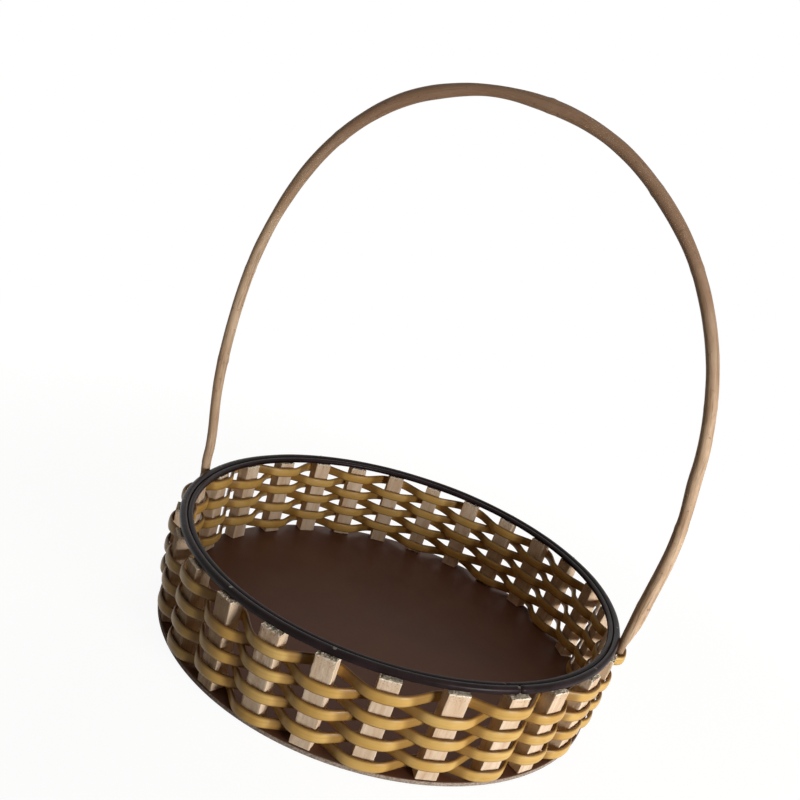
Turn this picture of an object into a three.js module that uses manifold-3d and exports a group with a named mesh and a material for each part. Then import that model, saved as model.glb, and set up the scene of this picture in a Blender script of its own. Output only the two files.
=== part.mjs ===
// Breakfast basket: a thin round board, a ring of sawn pine stakes standing on its edge, one strand of
// cane woven round them seven times, a rim of two dark strands and a bent rod for a handle.
// Millimetres, +Z up. The origin is the middle of the board's underside, and the handle's feet lie
// along X. The front stake stands at -Y.

import * as THREE from 'three';
import { mergeVertices } from 'three/addons/utils/BufferGeometryUtils.js';
import Module from 'manifold-3d';

// Clearances
const SEAT_GAP = 0.3;          // between a piece and what it rests on or is driven into
const WEAVE_GAP = 0.3;         // between the cane and the faces of a stake
const JOINT_GAP = 0.6;         // between the two ends of a strand at a butt joint

// Board
const BOARD_RADIUS = 154.2;
const BOARD_THICKNESS = 3;
const BOARD_EDGE = 0.5;        // softened corner of the board
const BOARD_SIDES = 81;

// Stakes
const STAKE_COUNT = 27;        // an odd count, so that the cane changes side from one turn to the next
const STAKE_WIDTH = 13;
const STAKE_DEPTH = 9.5;
const STAKE_HEIGHT = 60;
const STAKE_SETBACK = 0.7;     // from the board's edge to a stake's outer face
const STAKE_FLARE = 2.6;       // how far the top of a stake stands out beyond its foot

// Cane
const TURNS = 7;
const CANE_HEIGHT = 7.3;
const CANE_THICKNESS = 2.6;
const CANE_OVERRUN = 0.9;      // the cane stays flat this far past each side of a stake
const ROW_PITCH = 7.6;
const SEAM_STAKE = -4;         // the stake, counted from the front one, where every turn begins
const CLIMB_DELAY = 4;         // 1 climbs evenly round a turn, and more keeps it level for longer

// Rim
const RIM_OUTER_DIAMETER = 4.6;
const RIM_INNER_DIAMETER = 3.8;
const RIM_SETBACK = 1.8;       // from a stake's outer face to the rim's outer side
const RIM_STEPS = 108;
const RIM_SIDES = 8;
const RIM_OUTER_JOINT = 3.1;   // places of the butt joints, in stakes counted from the front one
const RIM_INNER_JOINT = 2.85;

// Handle
const ROD_THIN = 6.2;          // diameter at the left foot
const ROD_THICK = 9.2;         // diameter at the right foot
const TAPER_BEND = 0.6;        // 1 thickens evenly along the rod, and less thickens it sooner
const CROWN_HEIGHT = 361.4;    // middle of the rod at its crown, above the underside of the board
const CROWN_SHIFT = -11;       // place of the crown along the handle
const ROD_SIDES = 10;
const TONGUE_LENGTH = 13;      // flat end of the rod below the underside of the rim
const TONGUE_THICKNESS = 5.2;
const SHAVE_HEIGHT = 20;       // above the underside of the rim, where the shaving of the rod begins
const LEG_STAKE = 7;           // each leg stands beside this stake, counted from the front one
const LEFT_LEG = { swell: 6.5, swellHeight: 155, squareness: 2.29 };
const RIGHT_LEG = { swell: 1.2, swellHeight: 138, squareness: 2.08 };

// Where the rod departs from its even curve: shares of its length, and how far outwards
const KINKS = [
  { share: 0.053, shareWidth: 0.03, rise: -1.6 },
  { share: 0.421, shareWidth: 0.022, rise: -0.5 },
  { share: 0.607, shareWidth: 0.038, rise: -1 },
  { share: 0.736, shareWidth: 0.04, rise: 0.4 },
  { share: 0.832, shareWidth: 0.02, rise: -0.9 },
  { share: 0.898, shareWidth: 0.036, rise: 1.4 },
];

// Nails
const NAIL_SHANK = 1.2;        // diameters
const NAIL_HEAD = 2.4;
const NAIL_HEAD_THICKNESS = 0.6;
const NAIL_SIDES = 6;
const RIM_NAIL_COUNT = 11;     // spread evenly, each through the rim into the nearest stake
const RIM_NAIL_DEPTH = 12;
const LEG_NAIL_DEPTH = 2.4;    // length inside the rim's outer strand

// Sizes that follow
const STAKE_STEP = 2 * Math.PI / STAKE_COUNT;
const STAKE_FOOT = BOARD_THICKNESS + SEAT_GAP;
const STAKE_TOP = STAKE_FOOT + STAKE_HEIGHT;
const FOOT_RADIUS = BOARD_RADIUS - STAKE_SETBACK;
const TOP_RADIUS = FOOT_RADIUS + STAKE_FLARE;
const RIM_OUTSIDE = TOP_RADIUS - RIM_SETBACK;
const RIM_OUTER_RADIUS = RIM_OUTSIDE - RIM_OUTER_DIAMETER / 2;
const RIM_INNER_RADIUS = RIM_OUTER_RADIUS - RIM_OUTER_DIAMETER / 2 - SEAT_GAP - RIM_INNER_DIAMETER / 2;
const RIM_UNDERSIDE = STAKE_TOP + SEAT_GAP;
const RIM_OUTER_MIDDLE = RIM_UNDERSIDE + RIM_OUTER_DIAMETER / 2;
const RIM_INNER_MIDDLE = RIM_UNDERSIDE + RIM_INNER_DIAMETER / 2;
const TONGUE_END = RIM_UNDERSIDE - TONGUE_LENGTH;
const TONGUE_OUTSIDE = RIM_OUTSIDE + SEAT_GAP + TONGUE_THICKNESS;
const CANE_SWING = STAKE_DEPTH / 2 + CANE_THICKNESS / 2 + WEAVE_GAP;
const LOWEST_ROW = STAKE_FOOT + SEAT_GAP + CANE_HEIGHT / 2;
const HIGHEST_ROW = RIM_UNDERSIDE - SEAT_GAP - CANE_HEIGHT / 2;

const wasm = await Module();
wasm.setup();

const pine = new THREE.MeshStandardMaterial({ color: 0xe2c7a6, roughness: 0.85 });
const cane = new THREE.MeshStandardMaterial({ color: 0xc9a04f, roughness: 0.45 });
const darkStrand = new THREE.MeshStandardMaterial({ color: 0x2c2421, roughness: 0.4 });
const darkBoard = new THREE.MeshStandardMaterial({ color: 0x43302a, roughness: 0.35 });
const peeledWood = new THREE.MeshStandardMaterial({ color: 0xb58a61, roughness: 0.6 });
const steel = new THREE.MeshStandardMaterial({ color: 0x8a8a88, roughness: 0.4, metalness: 1 });

// Angle of a stake, counted from the front one
function stakeAngle(index) {
  return -Math.PI / 2 + index * STAKE_STEP;
}

// A point at a radius and an angle about the basket's axis
function around(radius, angle, height) {
  return new THREE.Vector3(radius * Math.cos(angle), radius * Math.sin(angle), height);
}

// Only the positions are kept, with the shared vertices merged
function closed(geometry) {
  const plain = geometry.clone();
  plain.deleteAttribute('normal');
  plain.deleteAttribute('uv');
  return mergeVertices(plain, 1e-4);
}

function toSolid(geometry) {
  const shape = closed(geometry);
  const vertProperties = new Float32Array(shape.attributes.position.array);
  const triVerts = new Uint32Array(shape.index.array);
  return new wasm.Manifold(new wasm.Mesh({ numProp: 3, vertProperties, triVerts }));
}

function toGeometry(solid) {
  const mesh = solid.getMesh();
  const geometry = new THREE.BufferGeometry();
  geometry.setAttribute('position', new THREE.BufferAttribute(new Float32Array(mesh.vertProperties), 3));
  geometry.setIndex(new THREE.BufferAttribute(new Uint32Array(mesh.triVerts), 1));
  return geometry;
}

// Cuts every tool out of a geometry
function cut(geometry, tools) {
  let solid = toSolid(geometry);
  for (const tool of tools) solid = solid.subtract(toSolid(tool));
  return toGeometry(solid);
}

// A skin over rings of points, all with the same count, with a flat cap on each end
function loft(rings) {
  const sides = rings[0].length;
  const positions = [];
  for (const ring of rings) for (const point of ring) positions.push(point.x, point.y, point.z);
  const faces = [];
  for (let i = 0; i + 1 < rings.length; i++) {
    for (let j = 0; j < sides; j++) {
      const a = i * sides + j;
      const b = i * sides + (j + 1) % sides;
      faces.push(a, b, b + sides, a, b + sides, a + sides);
    }
  }
  const last = (rings.length - 1) * sides;
  for (let j = 1; j + 1 < sides; j++) {
    faces.push(0, j + 1, j);
    faces.push(last, last + j, last + j + 1);
  }
  const geometry = new THREE.BufferGeometry();
  geometry.setAttribute('position', new THREE.BufferAttribute(new Float32Array(positions), 3));
  geometry.setIndex(faces);
  return geometry;
}

// A ring of points round a place: each outline point goes [outward, upward] from it
function ringAt(place, outward, upward, outline) {
  return outline.map(([across, along]) => place.clone()
    .addScaledVector(outward, across)
    .addScaledVector(upward, along));
}

function circleOutline(radius, sides) {
  const outline = [];
  for (let i = 0; i < sides; i++) {
    const angle = 2 * Math.PI * (i + 0.5) / sides;
    outline.push([radius * Math.cos(angle), radius * Math.sin(angle)]);
  }
  return outline;
}

// Board
function makeBoard() {
  const profile = [
    new THREE.Vector2(0, 0),
    new THREE.Vector2(BOARD_RADIUS - BOARD_EDGE, 0),
    new THREE.Vector2(BOARD_RADIUS, BOARD_EDGE),
    new THREE.Vector2(BOARD_RADIUS, BOARD_THICKNESS - BOARD_EDGE),
    new THREE.Vector2(BOARD_RADIUS - BOARD_EDGE, BOARD_THICKNESS),
    new THREE.Vector2(0, BOARD_THICKNESS),
  ];
  const disc = new THREE.LatheGeometry(profile, BOARD_SIDES);
  disc.rotateX(Math.PI / 2);
  return disc;
}

// Nail: a flat head below, and a pointed shank that rises from it, along +Z. With a clearance it is
// the hole for that nail, and its head then opens downwards.
function makeNail(length, clearance = 0) {
  const shank = NAIL_SHANK / 2 + clearance;
  const head = NAIL_HEAD / 2 + clearance;
  const bottom = clearance > 0 ? -NAIL_HEAD : 0;
  const profile = [
    new THREE.Vector2(0, bottom),
    new THREE.Vector2(head, bottom),
    new THREE.Vector2(head, NAIL_HEAD_THICKNESS + clearance),
    new THREE.Vector2(shank, NAIL_HEAD_THICKNESS + clearance),
    new THREE.Vector2(shank, length - NAIL_SHANK + clearance),
    new THREE.Vector2(0, length + clearance),
  ];
  const nail = new THREE.LatheGeometry(profile, NAIL_SIDES);
  nail.rotateX(Math.PI / 2);
  return nail;
}

// The nail down through the rim's outer strand into a stake
function rimNail(index, clearance) {
  const length = NAIL_HEAD_THICKNESS + RIM_OUTER_DIAMETER + RIM_NAIL_DEPTH;
  const nail = makeNail(length, clearance);
  nail.rotateX(Math.PI);
  const top = RIM_OUTER_MIDDLE + RIM_OUTER_DIAMETER / 2 + SEAT_GAP + NAIL_HEAD_THICKNESS;
  const place = around(RIM_OUTER_RADIUS, stakeAngle(index), top - NAIL_HEAD_THICKNESS);
  nail.translate(place.x, place.y, place.z);
  return nail;
}

// Where the legs stand
function makeLeg(side, diameter, shape) {
  const radius = RIM_OUTSIDE + SEAT_GAP + diameter / 2;
  const beside = (STAKE_WIDTH / 2 + SEAT_GAP + diameter / 2) / radius;
  const angle = stakeAngle(side * LEG_STAKE) - side * beside;
  return { ...shape, side, diameter, radius, angle, foot: around(radius, angle, 0) };
}
const rightLeg = makeLeg(1, ROD_THICK, RIGHT_LEG);
const leftLeg = makeLeg(-1, ROD_THIN, LEFT_LEG);

// The nail in through a leg's flat end to the rim's outer strand
function legNail(leg, clearance) {
  const length = NAIL_HEAD_THICKNESS + SEAT_GAP + TONGUE_THICKNESS + SEAT_GAP + LEG_NAIL_DEPTH;
  const nail = makeNail(length, clearance);
  nail.rotateY(-Math.PI / 2);
  nail.translate(TONGUE_OUTSIDE + SEAT_GAP + NAIL_HEAD_THICKNESS, 0, RIM_OUTER_MIDDLE);
  nail.rotateZ(leg.angle);
  return nail;
}

// Stake: a leaning block with a level foot and a level top
function makeStake(index, holes) {
  const side = new THREE.Shape([
    new THREE.Vector2(FOOT_RADIUS - STAKE_DEPTH, STAKE_FOOT),
    new THREE.Vector2(FOOT_RADIUS, STAKE_FOOT),
    new THREE.Vector2(TOP_RADIUS, STAKE_TOP),
    new THREE.Vector2(TOP_RADIUS - STAKE_DEPTH, STAKE_TOP),
  ]);
  const block = new THREE.ExtrudeGeometry(side, { depth: STAKE_WIDTH, bevelEnabled: false });
  block.translate(0, 0, -STAKE_WIDTH / 2);
  block.rotateX(Math.PI / 2);
  block.rotateZ(stakeAngle(index));
  return cut(block, holes);
}

// Radius of the middle of the stakes at a height
function wallRadius(height) {
  const lean = STAKE_FLARE * (height - STAKE_FOOT) / STAKE_HEIGHT;
  return FOOT_RADIUS - STAKE_DEPTH / 2 + lean;
}

// Height of the cane's middle after so many stakes. Each turn climbs late, and the last one stays
// below the rim.
function caneHeight(steps) {
  const turn = Math.max(0, Math.floor(steps / STAKE_COUNT));
  const share = Math.max(0, steps / STAKE_COUNT - turn);
  return Math.min(HIGHEST_ROW, LOWEST_ROW + ROW_PITCH * (turn + share ** CLIMB_DELAY));
}

// How far outside the flat end of a leg the cane has to pass
function legBulge(angle, height, swing) {
  let bulge = swing;
  if (swing <= 0 || height + CANE_HEIGHT / 2 < TONGUE_END) return bulge;
  for (const leg of [rightLeg, leftLeg]) {
    const turned = Math.atan2(Math.sin(angle - leg.angle), Math.cos(angle - leg.angle));
    const aside = Math.abs(turned) * leg.radius;
    const needed = TONGUE_OUTSIDE + 2 * SEAT_GAP + CANE_THICKNESS / 2 - wallRadius(height);
    const fade = THREE.MathUtils.smoothstep(aside, leg.diameter, leg.diameter + STAKE_WIDTH);
    bulge = Math.max(bulge, needed + (swing - needed) * fade);
  }
  return bulge;
}

// Cane: flat along each stake, and straight from one side of the ring to the other between stakes.
// It passes inside the first stake, outside the next, and so on. Places are in stakes.
const FLAT_END = (STAKE_WIDTH / 2 + CANE_OVERRUN) / TOP_RADIUS / STAKE_STEP;

function canePoint(steps) {
  const stake = Math.round(steps);
  const aside = Math.abs(steps - stake);
  const share = Math.min(1, (0.5 - aside) / (0.5 - FLAT_END));
  const side = stake % 2 === 0 ? -1 : 1;
  const angle = stakeAngle(SEAM_STAKE + steps);
  const height = caneHeight(steps);
  const swing = legBulge(angle, height, side * share * CANE_SWING);
  const chord = wallRadius(height) / Math.cos(Math.min(aside, FLAT_END) * STAKE_STEP);
  return around(chord + swing, angle, height);
}

// Every place where the cane bends in a turn: beside each stake, and on both sides of each leg
function caneBends(turn) {
  const bends = [];
  for (let stake = 0; stake <= STAKE_COUNT + 1; stake++) bends.push(stake - FLAT_END, stake + FLAT_END);
  for (const leg of [rightLeg, leftLeg]) {
    const middle = (leg.angle - stakeAngle(SEAM_STAKE)) / STAKE_STEP;
    const reach = (leg.diameter + CANE_THICKNESS) / 2 / leg.radius / STAKE_STEP;
    const turned = (middle + STAKE_COUNT) % STAKE_COUNT;
    bends.push(turned - reach, turned + reach);
  }
  return bends.map((bend) => bend + turn * STAKE_COUNT).sort((a, b) => a - b);
}

// The joints between turns lie behind a stake, where the cane is inside
function jointStep(turn) {
  return turn * STAKE_COUNT + (turn % 2 === 0 ? 0 : 1);
}

function makeCane(turn) {
  const first = jointStep(turn);
  const last = turn === TURNS - 1 ? turn * STAKE_COUNT + STAKE_COUNT - 1 : jointStep(turn + 1);
  const butt = JOINT_GAP / 2 / FOOT_RADIUS / STAKE_STEP;
  const start = turn === 0 ? first - FLAT_END : first + butt;
  const end = turn === TURNS - 1 ? last + FLAT_END : last - butt;
  const bends = caneBends(turn).filter((steps) => steps > start && steps < end);
  const points = [start, ...bends, end].map(canePoint);
  const half = CANE_THICKNESS / 2;
  const tall = CANE_HEIGHT / 2;
  const outline = [
    [0, -tall],
    [-half, -tall / 2],
    [-half, tall / 2],
    [0, tall],
    [half, tall / 2],
    [half, -tall / 2],
  ];
  const up = new THREE.Vector3(0, 0, 1);
  const rings = points.map((point, i) => {
    const before = points[Math.max(0, i - 1)];
    const after = points[Math.min(points.length - 1, i + 1)];
    const ahead = after.clone().sub(before).setZ(0).normalize();
    return ringAt(point, new THREE.Vector3(ahead.y, -ahead.x, 0), up, outline);
  });
  return loft(rings);
}

// Rim strand: a round strand bent into a ring, its ends butted together
function makeRimStrand(radius, diameter, middle, joint) {
  const from = stakeAngle(joint) + JOINT_GAP / 2 / radius;
  const span = 2 * Math.PI - JOINT_GAP / radius;
  const outline = circleOutline(diameter / 2, RIM_SIDES);
  const up = new THREE.Vector3(0, 0, 1);
  const rings = [];
  for (let i = 0; i <= RIM_STEPS; i++) {
    const angle = from + span * i / RIM_STEPS;
    rings.push(ringAt(around(radius, angle, middle), around(1, angle, 0), up, outline).reverse());
  }
  return loft(rings);
}

// Handle: the line of the rod stands over the line between its feet. A place on it is how far along
// that line it stands, and its height.
const handleWay = rightLeg.foot.clone().sub(leftLeg.foot).normalize();
const handleMiddle = rightLeg.foot.clone().addScaledVector(handleWay, -rightLeg.foot.dot(handleWay));

// Each leg rises straight, swells out a little and then turns over in a quarter of a superellipse
function legLine(leg) {
  const foot = leg.foot.dot(handleWay);
  const widest = foot + leg.side * leg.swell;
  const line = [new THREE.Vector2(foot, TONGUE_END), new THREE.Vector2(foot, RIM_UNDERSIDE)];
  const shaveTop = RIM_UNDERSIDE + SHAVE_HEIGHT;
  const rises = 4;
  for (let i = 0; i <= rises; i++) {
    const height = shaveTop + (leg.swellHeight - shaveTop) * i / rises;
    const share = (height - RIM_UNDERSIDE) / (leg.swellHeight - RIM_UNDERSIDE);
    line.push(new THREE.Vector2(foot + (widest - foot) * Math.sin(share * Math.PI / 2), height));
  }
  const turns = 20;
  for (let i = 1; i < turns; i++) {
    const angle = i / turns * Math.PI / 2;
    const across = (widest - CROWN_SHIFT) * Math.cos(angle) ** (2 / leg.squareness);
    const rise = (CROWN_HEIGHT - leg.swellHeight) * Math.sin(angle) ** (2 / leg.squareness);
    line.push(new THREE.Vector2(CROWN_SHIFT + across, leg.swellHeight + rise));
  }
  return line;
}

// How far outwards the rod is bent at a share of its length. Beside the rim it stays straight.
function kinkAt(share, height) {
  const rimTop = RIM_UNDERSIDE + RIM_OUTER_DIAMETER;
  const free = THREE.MathUtils.smoothstep(height, rimTop, RIM_UNDERSIDE + SHAVE_HEIGHT);
  let bend = 0;
  for (const kink of KINKS) bend += kink.rise * Math.exp(-(((share - kink.share) / kink.shareWidth) ** 2));
  return bend * free;
}

// The outline of the rod, [inward, aside]. Beside the rim its outer side is shaved to a flat end.
function rodOutline(radius, height) {
  const share = THREE.MathUtils.clamp((height - RIM_UNDERSIDE) / SHAVE_HEIGHT, 0, 1);
  const outside = radius - TONGUE_THICKNESS - (2 * radius - TONGUE_THICKNESS) * share;
  return circleOutline(radius, ROD_SIDES).map(([inward, aside]) => [Math.max(outside, inward), aside]);
}

function makeRod() {
  const crown = new THREE.Vector2(CROWN_SHIFT, CROWN_HEIGHT);
  const line = [...legLine(leftLeg), crown, ...legLine(rightLeg).reverse()];
  const lengths = [0];
  for (let i = 1; i < line.length; i++) lengths.push(lengths[i - 1] + line[i].distanceTo(line[i - 1]));
  const total = lengths[line.length - 1];
  const sideways = new THREE.Vector3(-handleWay.y, handleWay.x, 0);
  const rings = line.map((place, i) => {
    const share = lengths[i] / total;
    const ahead = line[Math.min(line.length - 1, i + 1)].clone().sub(line[Math.max(0, i - 1)]).normalize();
    const outward = new THREE.Vector2(-ahead.y, ahead.x);
    const bent = place.clone().addScaledVector(outward, kinkAt(share, place.y));
    const middle = handleMiddle.clone().addScaledVector(handleWay, bent.x).setZ(bent.y);
    const inward = handleWay.clone().multiplyScalar(-outward.x).setZ(-outward.y);
    const radius = (ROD_THIN + (ROD_THICK - ROD_THIN) * share ** TAPER_BEND) / 2;
    return ringAt(middle, inward, sideways, rodOutline(radius, place.y));
  });
  return loft(rings);
}

// Assembly
const basket = new THREE.Group();

function addPiece(name, geometry, material) {
  const shape = geometry.index && !geometry.attributes.uv ? geometry : closed(geometry);
  shape.computeVertexNormals();
  const mesh = new THREE.Mesh(shape, material);
  mesh.name = name;
  basket.add(mesh);
}

const stakeNumbers = Array.from({ length: STAKE_COUNT }, (_, i) => i);
const rimNailNumbers = Array.from({ length: RIM_NAIL_COUNT }, (_, i) => i);
const rimNailStakes = rimNailNumbers.map((i) => Math.round((i * STAKE_COUNT + 1) / RIM_NAIL_COUNT));
const legs = [leftLeg, rightLeg];

addPiece('base_board', makeBoard(), darkBoard);

for (const i of stakeNumbers) {
  const holes = rimNailStakes.includes(i) ? [rimNail(i, SEAT_GAP)] : [];
  addPiece(`stake_${String(i + 1).padStart(2, '0')}`, makeStake(i, holes), pine);
}

for (let turn = 0; turn < TURNS; turn++) addPiece(`weaver_${turn + 1}`, makeCane(turn), cane);

const innerStrand = makeRimStrand(RIM_INNER_RADIUS, RIM_INNER_DIAMETER, RIM_INNER_MIDDLE, RIM_INNER_JOINT);
const outerStrand = makeRimStrand(RIM_OUTER_RADIUS, RIM_OUTER_DIAMETER, RIM_OUTER_MIDDLE, RIM_OUTER_JOINT);
const rimHoles = [
  ...rimNailStakes.map((i) => rimNail(i, SEAT_GAP)),
  ...legs.map((leg) => legNail(leg, SEAT_GAP)),
];
addPiece('rim_inner', innerStrand, darkStrand);
addPiece('rim_outer', cut(outerStrand, rimHoles), darkStrand);
addPiece('handle_rod', cut(makeRod(), legs.map((leg) => legNail(leg, SEAT_GAP))), peeledWood);

rimNailStakes.forEach((i, count) => addPiece(`rim_nail_${count + 1}`, rimNail(i, 0), steel));
addPiece('leg_nail_left', legNail(leftLeg, 0), steel);
addPiece('leg_nail_right', legNail(rightLeg, 0), steel);

export default basket;
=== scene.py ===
# %% [markdown]
# # A breakfast basket
# A thin round board, a ring of sawn pine stakes, one strand of cane woven round them seven times, a
# rim of two dark strands and a peeled rod bent over the top. The solid model gives nearly every size
# and place. This file gives each piece its fine surface, its material and its light.
#
# Lengths are in metres and +Z is up. The basket stands on the floor at the origin, and its handle
# runs along X.

# %% Load the solid model
import math
import bpy
import numpy as np
from mathutils import Matrix, Vector


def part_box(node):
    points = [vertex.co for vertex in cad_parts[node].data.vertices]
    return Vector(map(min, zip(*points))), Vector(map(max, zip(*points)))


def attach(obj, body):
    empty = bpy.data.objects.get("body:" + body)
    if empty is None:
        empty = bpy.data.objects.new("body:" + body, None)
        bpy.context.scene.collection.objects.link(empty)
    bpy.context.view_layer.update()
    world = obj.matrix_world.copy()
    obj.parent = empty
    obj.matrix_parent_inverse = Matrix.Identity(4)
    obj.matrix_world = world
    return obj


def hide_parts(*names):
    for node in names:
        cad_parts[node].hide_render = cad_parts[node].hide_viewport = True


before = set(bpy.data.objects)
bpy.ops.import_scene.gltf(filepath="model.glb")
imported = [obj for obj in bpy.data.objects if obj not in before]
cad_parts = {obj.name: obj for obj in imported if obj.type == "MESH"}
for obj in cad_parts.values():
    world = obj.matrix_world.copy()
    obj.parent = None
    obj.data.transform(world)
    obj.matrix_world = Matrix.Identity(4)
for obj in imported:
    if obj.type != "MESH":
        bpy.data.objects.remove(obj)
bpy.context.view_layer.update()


# %% [markdown]
# ## Sizes
# The solid model's names tell how many stakes, turns of cane and nails there are. Its boxes give most
# sizes back: the board's radius is half of its box, a stake's height is its box's height. Only what a
# box can't tell is written here, such as how the cane swings from one side of the stakes to the other.
# Everything is named once, so that a piece that leans on another one can take its size from it.

# %% Counts
def count_solids(kind):
    """How many solids the model has of one kind, such as stake for stake_01 and all the others."""
    return sum(node.startswith(kind + "_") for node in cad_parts)


STAKES = count_solids("stake")
TURNS = count_solids("weaver")
RIM_NAILS = count_solids("rim_nail")
# Angles are counted from +X, so the front stake, at -Y, has FRONT, and the next one is a STEP on.
STEP = 2 * np.pi / STAKES
FRONT = -np.pi / 2
print(STAKES, "stakes,", TURNS, "turns of cane and", RIM_NAILS, "nails in the rim")


# %% Sizes
MM = 0.001


def extent(node):
    """The lowest and highest corner of a solid, as arrays."""
    low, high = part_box(node)
    return np.array(low), np.array(high)


_, board_high = extent("base_board")
stake_low, stake_high = extent("stake_01")
first_low, _ = extent("weaver_1")
second_low, _ = extent("weaver_2")
outer_low, outer_high = extent("rim_outer")
inner_low, inner_high = extent("rim_inner")
rod_low, rod_high = extent("handle_rod")

CLEARANCE = 0.3 * MM
BOARD_RADIUS = board_high[0]
BOARD_TOP = board_high[2]
STAKE_FOOT, STAKE_TOP = stake_low[2], stake_high[2]
STAKE_WIDTH = stake_high[0] - stake_low[0]
STAKE_DEPTH = 9.5 * MM
STAKE_LEAN = 2.6 * MM
TOP_RADIUS = -stake_low[1]
CANE_HEIGHT = 7.3 * MM
CANE_THICKNESS = 2.6 * MM
ROOM_AT_STAKE = 0.9 * MM
CANE_SWING = STAKE_DEPTH / 2 + CANE_THICKNESS / 2 + ROOM_AT_STAKE
ROW_PITCH = second_low[2] - first_low[2]
LOWEST_ROW = first_low[2] + CANE_HEIGHT / 2
HIGHEST_ROW = outer_low[2] - CLEARANCE - CANE_HEIGHT / 2
RIM_OUTSIDE = outer_high[0]
TONGUE_THICKNESS = 5.2 * MM
TONGUE_OUTSIDE = RIM_OUTSIDE + CLEARANCE + TONGUE_THICKNESS
print(f"board {2000 * BOARD_RADIUS:.1f} mm across, stakes {1000 * (STAKE_TOP - STAKE_FOOT):.1f} mm tall,"
      f" rows {1000 * ROW_PITCH:.2f} mm apart, crown at {1000 * rod_high[2]:.1f} mm")

# %% [markdown]
# ## Noise without surprises
# Hand work is never quite even. Each piece gets small swellings and leanings from sums of a few sine
# waves. Their phases come from a generator with a fixed seed, so every run makes the same basket, and
# waves with a whole number of periods close up on themselves round a ring.

# %% Smooth variation
def ripple(position, seed, waves=(1, 2, 3, 5, 8), period=1.0):
    """A smooth curve of mean 0 and about unit height: a sum of sines, one for each whole number in
    waves, where number w has w periods over the given period and an amplitude of one over its root."""
    rng = np.random.default_rng(seed)
    position = np.asarray(position, float) / period * 2 * np.pi
    total = np.zeros_like(position)
    for wave in waves:
        total = total + np.sin(wave * position + rng.uniform(0, 2 * np.pi)) / math.sqrt(wave)
    return total / math.sqrt(sum(1 / wave for wave in waves) / 2)


def smooth_step(value, low, high):
    """0 below low, 1 above high, and a smooth S between them."""
    share = np.clip((value - low) / (high - low), 0, 1)
    return share * share * (3 - 2 * share)


def unit(vectors):
    """The same vectors, each with length 1."""
    return vectors / np.linalg.norm(vectors, axis=-1, keepdims=True)


# %% [markdown]
# ## A skin over rings
# A strand is a section carried along a line, a stake is a section carried upwards, and even the board
# is a row of circles that grow and shrink again. So one method makes every piece: a row of closed
# rings of points, with a skin of four-sided faces between neighbours and a fan of triangles over each
# end. Blender's curves with a bevel would be quicker to type, but rings let the section change along
# the way. The mesh keeps a UV map that holds real lengths: U runs along the piece and V round it, both
# in metres. The materials use it to lay fibres along a bent strand.

# %% Lengths of lines
def path_lengths(points):
    """How far along a line each of its points is: the sums of the steps up to it."""
    return np.concatenate([[0], np.cumsum(np.linalg.norm(np.diff(points, axis=0), axis=1))])


def girth_of(ring):
    """The length of a closed ring of points."""
    return float(np.linalg.norm(ring - np.roll(ring, 1, 0), axis=1).sum())


# %% Skin
SHARP_ANGLE = math.radians(50)


def skin(name, rings, girth=None):
    """A closed mesh object from rings[i, j], the points of ring i in order. Faces join ring i to ring
    i + 1, and the two ends are fans about the mean of their ring. Rings turn anticlockwise as seen
    from the far end. U adds up the steps between the rings' middles, and girth is V's length round the
    piece, by default the length of the middle ring."""
    count, sides = rings.shape[:2]
    points = np.concatenate([rings.reshape(-1, 3), [rings[0].mean(0), rings[-1].mean(0)]])
    i, j = np.meshgrid(np.arange(count - 1), np.arange(sides), indexing="ij")
    i, j = i.ravel(), j.ravel()
    k = (j + 1) % sides
    quads = np.stack([i * sides + j, i * sides + k, (i + 1) * sides + k, (i + 1) * sides + j], 1)
    j = np.arange(sides)
    k = (j + 1) % sides
    last = (count - 1) * sides
    ends = np.concatenate([
        np.stack([np.full(sides, count * sides), k, j], 1),
        np.stack([np.full(sides, count * sides + 1), last + j, last + k], 1),
    ])
    mesh = bpy.data.meshes.new(name)
    mesh.from_pydata(points.tolist(), [], quads.tolist() + ends.tolist())
    along = path_lengths(rings.mean(1))
    girth = girth or girth_of(rings[count // 2])
    i = np.repeat(np.arange(count - 1), sides)
    j = np.tile(np.arange(sides), count - 1)
    u = np.stack([along[i], along[i], along[i + 1], along[i + 1]], 1)
    v = np.stack([j, j + 1, j + 1, j], 1) / sides * girth
    end_v = np.tile(np.arange(sides)[:, None], 3) / sides * girth
    corners = [np.stack([u, v], 2), np.stack([np.full((sides, 3), along[0]), end_v], 2),
               np.stack([np.full((sides, 3), along[-1]), end_v], 2)]
    layer = mesh.uv_layers.new(name="lengths")
    layer.data.foreach_set("uv", np.concatenate([part.ravel() for part in corners]))
    mesh.shade_smooth()
    mesh.set_sharp_from_angle(angle=SHARP_ANGLE)
    mesh.update()
    piece = bpy.data.objects.new(name, mesh)
    bpy.context.collection.objects.link(piece)
    return piece


# %% Rings
def tube(centres, outward, across, outline):
    """Rings of points: outline[j] or outline[i, j] goes (out, aside) from each centre along the two
    given directions."""
    outline = np.broadcast_to(outline, (len(centres),) + np.shape(outline)[-2:])
    return centres[:, None] + outline[:, :, :1] * outward[:, None] + outline[:, :, 1:] * across[:, None]


def oval(half_out, half_aside, sides, squareness=2.0):
    """Points of a superellipse: a cosine and a sine, each raised to two over the squareness."""
    angle = np.arange(sides) / sides * 2 * np.pi
    cosine, sine = np.cos(angle), np.sin(angle)
    power = 2 / squareness
    return np.stack([half_out * np.sign(cosine) * np.abs(cosine) ** power,
                     half_aside * np.sign(sine) * np.abs(sine) ** power], 1)


def around(radius, angle, height):
    """Points at a radius and an angle about the basket's axis."""
    radius, angle, height = np.broadcast_arrays(radius, angle, height)
    return np.stack([radius * np.cos(angle), radius * np.sin(angle), height], -1)


def place(piece, material, slot, *nodes):
    """The piece gets its material, rides on the basket and stands for its solids."""
    piece.data.materials.append(material)
    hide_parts(*nodes)
    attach(piece, "root")
    return piece


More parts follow.
